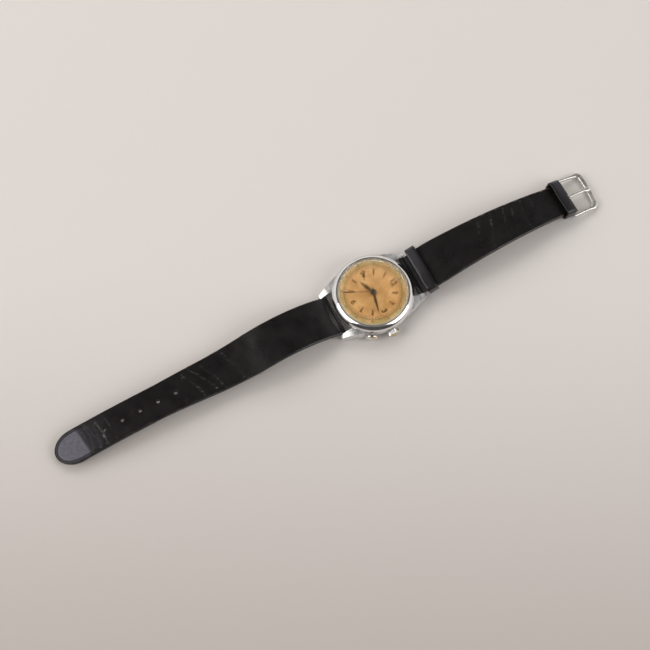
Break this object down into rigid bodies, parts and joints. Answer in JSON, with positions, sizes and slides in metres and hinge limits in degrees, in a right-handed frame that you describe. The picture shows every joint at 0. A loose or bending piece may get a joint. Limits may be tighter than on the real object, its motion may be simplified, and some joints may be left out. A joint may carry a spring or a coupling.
{
  "type": "chronograph wristwatch",
  "caption": "Round wristwatch with a plain dial, centre sweep hand, crown and single chronograph push-piece, on a two-piece leather strap with a pin buckle.",
  "frame": {"origin": "centre of the case back's flat outer face", "axes": "+Z out through the dial, +Y towards 12 o'clock and the buckle strap, +X towards 3 o'clock and the crown"},
  "size_m": [0.0368, 0.2523, 0.0118],
  "materials": {
    "polished_case": "bright polished plating, worn to brass on the crown and push-piece",
    "case_steel": "fine satin",
    "buckle_steel": "nickel, polished and lightly scratched",
    "crystal": "clear domed acrylic with fine scratches",
    "dial_face": "matt salmon lacquer with patina",
    "bronze": "darkened gilt",
    "blued_steel": "blued, browned towards the tip",
    "gasket": "soft",
    "black_leather": "smooth glossy calf, worn at the edges",
    "lining_leather": "plain matt lining",
    "ruby": "polished synthetic ruby",
    "plated_bridges": "nickel-plated brass, fine grained",
    "brass_wheels": "gilt",
    "movement_steel": "hardened steel"
  },
  "bodies": {
    "case": {"case_middle": "polished_case", "bezel": "polished_case", "crystal": "crystal", "case_back": "case_steel", "case_back_gasket": "gasket", "casing_ring": "plated_bridges", "dial": "dial_face", "hour_markers": "bronze", "crown_tube": "case_steel", "pusher_tube": "case_steel", "pusher_spring": "movement_steel", "spring_bar_12": "case_steel", "spring_bar_6": "case_steel", "main_plate": "plated_bridges", "barrel_bridge": "plated_bridges", "train_bridge": "plated_bridges", "balance_cock": "plated_bridges", "pallet_cock": "plated_bridges", "jewels": "ruby", "bridge_screws": "movement_steel", "hairspring": "movement_steel"},
    "minute_work": {"minute_hand": "bronze", "cannon_pinion": "movement_steel", "centre_wheel": "brass_wheels"},
    "hour_work": {"hour_hand": "bronze", "hour_wheel": "brass_wheels"},
    "minute_wheel": {"minute_wheel": "brass_wheels"},
    "barrel": {"barrel": "brass_wheels", "mainspring": "movement_steel"},
    "third_wheel": {"third_wheel": "brass_wheels"},
    "fourth_wheel": {"fourth_wheel": "brass_wheels"},
    "escape_wheel": {"escape_wheel": "movement_steel"},
    "pallet_fork": {"pallet_fork": "movement_steel"},
    "balance": {"balance_wheel": "brass_wheels"},
    "chronograph_runner": {"chronograph_wheel": "brass_wheels", "sweep_seconds_hand": "blued_steel"},
    "coupling_lever": {"coupling_lever": "movement_steel"},
    "coupling_wheel": {"coupling_wheel": "brass_wheels"},
    "winding_group": {"winding_pinion": "movement_steel"},
    "crown": {"crown": "polished_case", "winding_stem": "movement_steel"},
    "sliding_pinion": {"sliding_pinion": "movement_steel"},
    "crown_wheel": {"crown_wheel": "movement_steel"},
    "ratchet_group": {"ratchet_wheel": "movement_steel", "barrel_arbor": "movement_steel"},
    "click": {"click": "movement_steel"},
    "setting_lever": {"setting_lever": "movement_steel"},
    "push_piece": {"push_piece": "polished_case"},
    "operating_lever": {"operating_lever": "movement_steel"},
    "column_wheel": {"column_wheel": "movement_steel"},
    "reset_hammer": {"reset_hammer": "movement_steel"},
    "strap_long": {"strap_long_upper": "black_leather", "strap_long_lining": "lining_leather"},
    "strap_short": {"strap_short_upper": "black_leather", "strap_short_lining": "lining_leather", "fixed_keeper": "black_leather", "buckle_bar": "buckle_steel"},
    "sliding_keeper": {"sliding_keeper": "black_leather"},
    "buckle_frame": {"buckle_frame": "buckle_steel"},
    "buckle_tongue": {"buckle_tongue": "buckle_steel"}
  },
  "joints": [
    {"name": "minute_turn", "type": "hinge", "parent": "case", "child": "minute_work", "pos_m": [0, 0, 0.004], "axis": [0, 0, 1], "continuous": true},
    {"name": "hour_turn", "type": "hinge", "parent": "case", "child": "hour_work", "pos_m": [0, 0, 0.004], "axis": [0, 0, 1], "continuous": true},
    {"name": "minute_wheel_turn", "type": "hinge", "parent": "case", "child": "minute_wheel", "pos_m": [0.00293, -0.00107, 0.004], "axis": [0, 0, 1], "continuous": true},
    {"name": "barrel_turn", "type": "hinge", "parent": "case", "child": "barrel", "pos_m": [0.00167, 0.00622, 0.004], "axis": [0, 0, 1], "continuous": true},
    {"name": "third_wheel_turn", "type": "hinge", "parent": "case", "child": "third_wheel", "pos_m": [-0.00381, -0.00138, 0.004], "axis": [0, 0, 1], "continuous": true},
    {"name": "fourth_wheel_turn", "type": "hinge", "parent": "case", "child": "fourth_wheel", "pos_m": [-0.00257, -0.00478, 0.004], "axis": [0, 0, 1], "continuous": true},
    {"name": "escape_wheel_turn", "type": "hinge", "parent": "case", "child": "escape_wheel", "pos_m": [0.00032, -0.00583, 0.004], "axis": [0, 0, 1], "continuous": true},
    {"name": "chronograph_turn", "type": "hinge", "parent": "case", "child": "chronograph_runner", "pos_m": [0, 0, 0.004], "axis": [0, 0, 1], "continuous": true},
    {"name": "coupling_lever_tilt", "type": "hinge", "parent": "case", "child": "coupling_lever", "pos_m": [-0.00257, -0.00478, 0.004], "axis": [0, 0, 1], "range_deg": [0, 5]},
    {"name": "coupling_wheel_turn", "type": "hinge", "parent": "coupling_lever", "child": "coupling_wheel", "pos_m": [-0.00168, -0.00218, 0.004], "axis": [0, 0, 1], "continuous": true},
    {"name": "balance_swing", "type": "hinge", "parent": "case", "child": "balance", "pos_m": [0.0052, -0.006, 0.004], "axis": [0, 0, 1], "range_deg": [-270, 270]},
    {"name": "pallet_fork_rock", "type": "hinge", "parent": "case", "child": "pallet_fork", "pos_m": [0.00286, -0.00592, 0.004], "axis": [0, 0, 1], "range_deg": [-5, 5]},
    {"name": "crown_turn", "type": "hinge", "parent": "case", "child": "winding_group", "pos_m": [0.008, 0, 0.0035], "axis": [1, 0, 0], "continuous": true},
    {"name": "crown_pull", "type": "slide", "parent": "winding_group", "child": "crown", "axis": [1, 0, 0], "range_m": [0, 0.001]},
    {"name": "crown_wheel_turn", "type": "hinge", "parent": "case", "child": "crown_wheel", "pos_m": [0.0059, 0, 0.002], "axis": [0, 0, 1], "continuous": true},
    {"name": "ratchet_turn", "type": "hinge", "parent": "case", "child": "ratchet_group", "pos_m": [0.00167, 0.00622, 0.002], "axis": [0, 0, 1], "continuous": true},
    {"name": "sliding_pinion_shift", "type": "slide", "parent": "case", "child": "sliding_pinion", "axis": [-1, 0, 0], "range_m": [0, 0.0008]},
    {"name": "setting_lever_tilt", "type": "hinge", "parent": "case", "child": "setting_lever", "pos_m": [0.0103, 0.00275, 0.0035], "axis": [0, 0, 1], "range_deg": [0, 25.13]},
    {"name": "click_tilt", "type": "hinge", "parent": "case", "child": "click", "pos_m": [-0.00379, 0.00937, 0.002], "axis": [0, 0, 1], "range_deg": [-8, 0], "stiffness_Nm_per_rad": 0.0002},
    {"name": "push_piece_press", "type": "slide", "parent": "case", "child": "push_piece", "axis": [-0.866, 0.5, 0], "range_m": [0, 0.0006], "stiffness_N_per_m": 1500, "springref_m": -0.0008, "deforming": ["pusher_spring"]},
    {"name": "operating_lever_tilt", "type": "hinge", "parent": "case", "child": "operating_lever", "pos_m": [0.0118, -0.0008, 0.0013], "axis": [0, 0, 1], "range_deg": [-6.65, 0]},
    {"name": "column_wheel_index", "type": "hinge", "parent": "case", "child": "column_wheel", "pos_m": [0.009, 0.0044, 0.0015], "axis": [0, 0, 1], "range_deg": [-30, 0]},
    {"name": "reset_hammer_drop", "type": "hinge", "parent": "case", "child": "reset_hammer", "pos_m": [0.0094, 0.0024, 0.0014], "axis": [0, 0, 1], "range_deg": [0, 3]},
    {"name": "strap_long_swing", "type": "hinge", "parent": "case", "child": "strap_long", "pos_m": [0, -0.0187, 0.0029], "axis": [-1, 0, 0], "range_deg": [-90, 35]},
    {"name": "strap_short_swing", "type": "hinge", "parent": "case", "child": "strap_short", "pos_m": [0, 0.0187, 0.0029], "axis": [1, 0, 0], "range_deg": [-90, 35]},
    {"name": "sliding_keeper_travel", "type": "hinge", "parent": "strap_short", "child": "sliding_keeper", "pos_m": [0, 0.05621, -0.10581], "axis": [-1, 0, 0], "range_deg": [0, 30]},
    {"name": "buckle_frame_swing", "type": "hinge", "parent": "strap_short", "child": "buckle_frame", "pos_m": [0, 0.0942, 0.00273], "axis": [1, 0, 0], "range_deg": [-15, 25]},
    {"name": "tongue_swing", "type": "hinge", "parent": "buckle_frame", "child": "buckle_tongue", "pos_m": [0, 0.0942, 0.00273], "axis": [1, 0, 0], "range_deg": [0, 40]}
  ],
  "couplings": [
    {"joint": "hour_turn", "follows": "minute_turn", "ratio": 0.083333},
    {"joint": "minute_wheel_turn", "follows": "minute_turn", "ratio": -0.33333},
    {"joint": "barrel_turn", "follows": "minute_turn", "ratio": -0.15},
    {"joint": "third_wheel_turn", "follows": "minute_turn", "ratio": -8},
    {"joint": "fourth_wheel_turn", "follows": "minute_turn", "ratio": 60},
    {"joint": "escape_wheel_turn", "follows": "minute_turn", "ratio": -600},
    {"joint": "chronograph_turn", "follows": "minute_turn", "ratio": 60},
    {"joint": "coupling_wheel_turn", "follows": "minute_turn", "ratio": -72},
    {"joint": "crown_wheel_turn", "follows": "crown_turn", "ratio": 0.57143},
    {"joint": "ratchet_turn", "follows": "crown_turn", "ratio": -0.27586},
    {"joint": "setting_lever_tilt", "follows": "crown_pull", "rad_per_m": 438.6},
    {"joint": "sliding_pinion_shift", "follows": "crown_pull", "ratio": 0.8},
    {"joint": "operating_lever_tilt", "follows": "push_piece_press", "rad_per_m": -193.5},
    {"joint": "column_wheel_index", "follows": "push_piece_press", "rad_per_m": -872.6}
  ]
}
